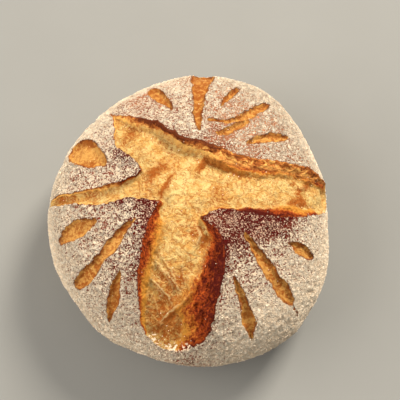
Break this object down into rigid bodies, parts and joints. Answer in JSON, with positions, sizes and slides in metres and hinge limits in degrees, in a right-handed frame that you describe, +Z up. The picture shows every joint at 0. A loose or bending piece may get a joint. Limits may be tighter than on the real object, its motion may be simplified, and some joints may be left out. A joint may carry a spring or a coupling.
{
  "type": "round italian loaf",
  "caption": "Round flour-dusted hearth loaf, slashed with a cross that burst open in the oven into raised flaps, with leaf-shaped cuts in each flap.",
  "frame": {"origin": "middle of the loaf's box, on the surface that the loaf rests on", "axes": "+Z up through the top of the dome, +X towards the short arm of the burst cross that ends wide, -Y towards the long wide arm"},
  "size_m": [0.21, 0.225, 0.1036],
  "materials": {
    "floured_crust": "baked crust, matt, with a dusting of flour"
  },
  "bodies": {
    "root": {"loaf": "floured_crust"}
  },
  "joints": []
}
